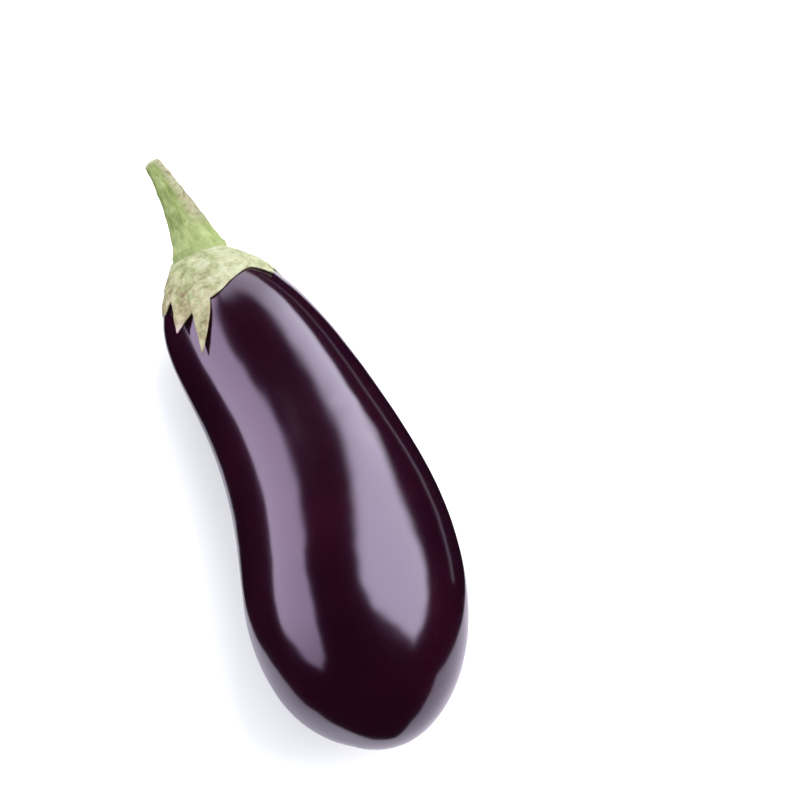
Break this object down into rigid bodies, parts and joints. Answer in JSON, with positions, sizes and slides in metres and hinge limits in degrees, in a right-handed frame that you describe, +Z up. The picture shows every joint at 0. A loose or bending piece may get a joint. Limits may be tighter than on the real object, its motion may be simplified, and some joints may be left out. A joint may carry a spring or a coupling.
{
  "type": "eggplant",
  "caption": "Long purple eggplant lying on its side: a glossy club-shaped fruit, a lobed leafy calyx over its neck and a short cut stem.",
  "frame": {"origin": "on the floor, under the middle of the whole eggplant's box", "axes": "+Y along the fruit from its blossom end to its stem, +Z up, the fruit lying on its belly"},
  "size_m": [0.0766, 0.2342, 0.0753],
  "materials": {
    "purple_skin": "smooth waxy skin, glossy",
    "green_calyx": "dry leafy surface, matte",
    "green_stalk": "ridged plant stalk, matte"
  },
  "bodies": {
    "root": {"fruit": "purple_skin", "calyx": "green_calyx", "stem": "green_stalk"}
  },
  "joints": []
}
